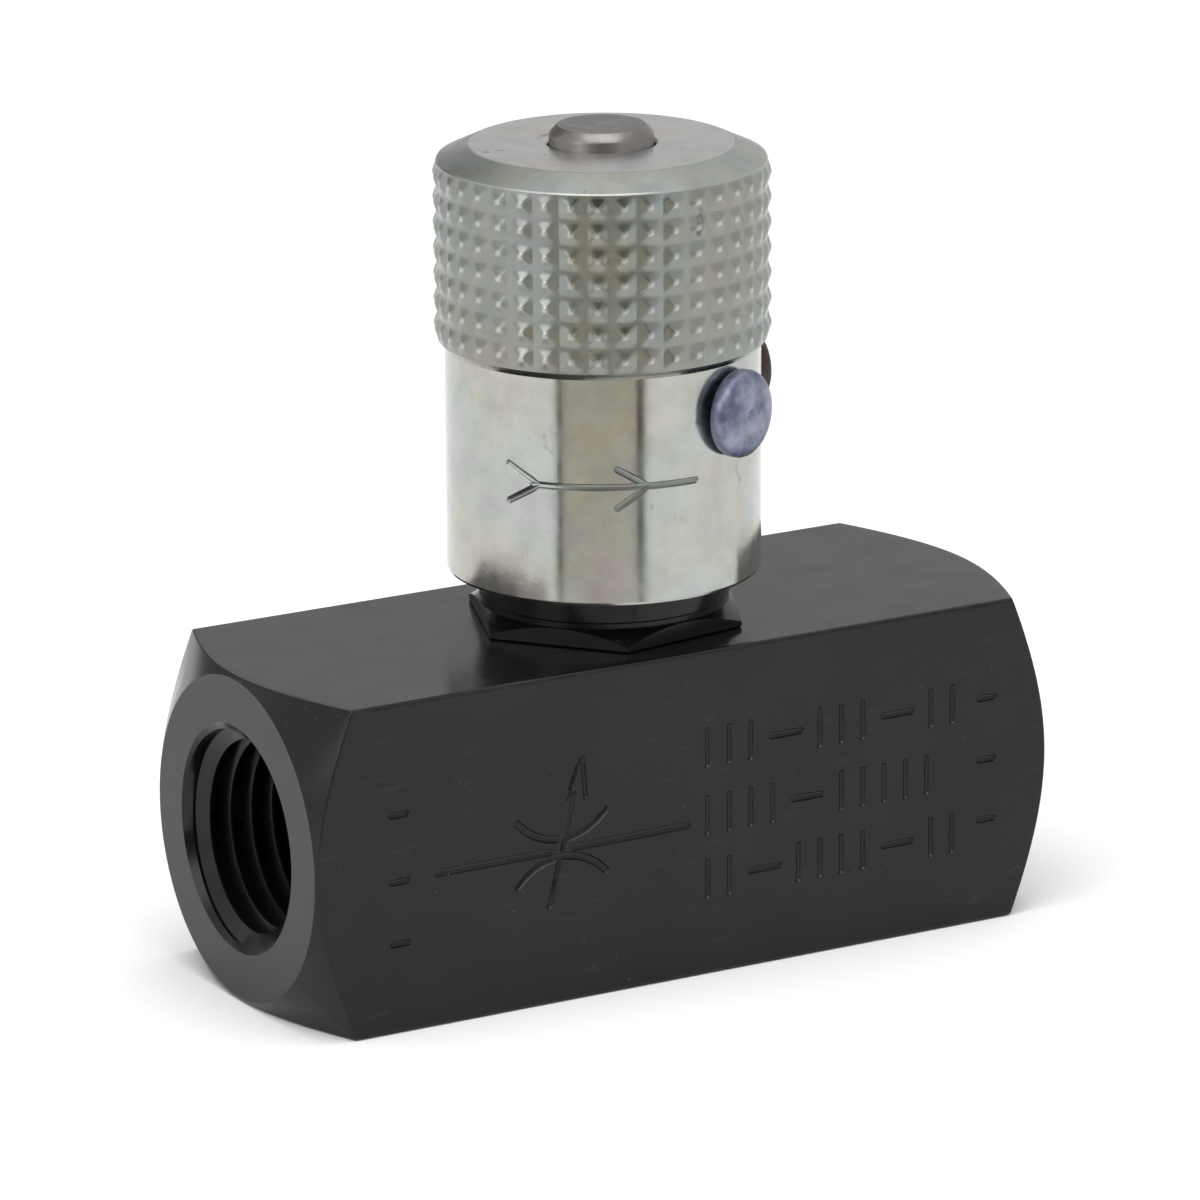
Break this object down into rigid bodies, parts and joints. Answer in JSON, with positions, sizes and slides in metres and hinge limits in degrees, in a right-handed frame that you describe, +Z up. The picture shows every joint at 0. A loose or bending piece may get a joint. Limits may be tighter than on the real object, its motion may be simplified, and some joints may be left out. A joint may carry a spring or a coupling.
{
  "type": "flow control valve",
  "caption": "In-line hydraulic flow control valve: square black steel body with a tapped port in each end, knurled adjusting knob on top, check valve inside.",
  "frame": {"origin": "centre of the body's flat underside, straight below the stem", "axes": "+X along the body from port A to port B (the check valve is in port B), +Z up the stem, the stamped face looks to -Y; rest is needle shut, poppet shut, lock screws in"},
  "size_m": [0.0516, 0.0213, 0.0516],
  "materials": {
    "black_oxide": "black oxide on machined steel, semi-gloss",
    "zinc": "clear zinc plating on turned and knurled steel",
    "stainless": "turned stainless steel, dull",
    "blued_steel": "blued steel, satin",
    "browned_steel": "browned steel, satin",
    "spring_steel": "drawn wire, bright",
    "nitrile": "moulded nitrile, matte",
    "ptfe": "PTFE, waxy",
    "nylon": "nylon, matte"
  },
  "bodies": {
    "valve": {"valve_body": "black_oxide", "bonnet": "black_oxide", "bonnet_seal": "nitrile", "needle_seat": "stainless", "spring_retainer": "black_oxide", "retaining_ring": "spring_steel", "check_spring": "spring_steel"},
    "stem_seals": {"stem_seal": "nitrile", "backup_ring": "ptfe"},
    "knob_and_stem": {"knob": "zinc", "needle_stem": "stainless"},
    "front_pad": {"lock_pad_front": "nylon"},
    "front_screw": {"lock_screw_front": "blued_steel"},
    "rear_pad": {"lock_pad_rear": "nylon"},
    "rear_screw": {"lock_screw_rear": "browned_steel"},
    "poppet": {"check_poppet": "stainless", "poppet_seal": "nitrile"}
  },
  "joints": [
    {"name": "stem_lift", "type": "slide", "parent": "valve", "child": "stem_seals", "axis": [0, 0, 1], "range_m": [0, 0.00635]},
    {"name": "knob_turn", "type": "hinge", "parent": "stem_seals", "child": "knob_and_stem", "pos_m": [0, 0, 0.03], "axis": [0, 0, 1], "range_deg": [0, 2160]},
    {"name": "front_pad_slide", "type": "slide", "parent": "knob_and_stem", "child": "front_pad", "axis": [0.4067, -0.9135, 0], "range_m": [0, 0.001]},
    {"name": "front_screw_turn", "type": "hinge", "parent": "front_pad", "child": "front_screw", "pos_m": [0, 0, 0.03495], "axis": [0.4067, -0.9135, 0], "range_deg": [0, 720]},
    {"name": "rear_pad_slide", "type": "slide", "parent": "knob_and_stem", "child": "rear_pad", "axis": [0.9976, 0.0698, 0], "range_m": [0, 0.001]},
    {"name": "rear_screw_turn", "type": "hinge", "parent": "rear_pad", "child": "rear_screw", "pos_m": [0, 0, 0.03495], "axis": [0.9976, 0.0698, 0], "range_deg": [0, 720]},
    {"name": "check_lift", "type": "slide", "parent": "valve", "child": "poppet", "axis": [1, 0, 0], "range_m": [0, 0.0018], "stiffness_N_per_m": 500, "springref_m": -0.004, "deforming": ["check_spring"]}
  ],
  "couplings": [
    {"joint": "stem_lift", "follows": "knob_turn", "m_per_rad": 0.00016839},
    {"joint": "front_screw_turn", "follows": "front_pad_slide", "rad_per_m": 12566},
    {"joint": "rear_screw_turn", "follows": "rear_pad_slide", "rad_per_m": 12566}
  ]
}
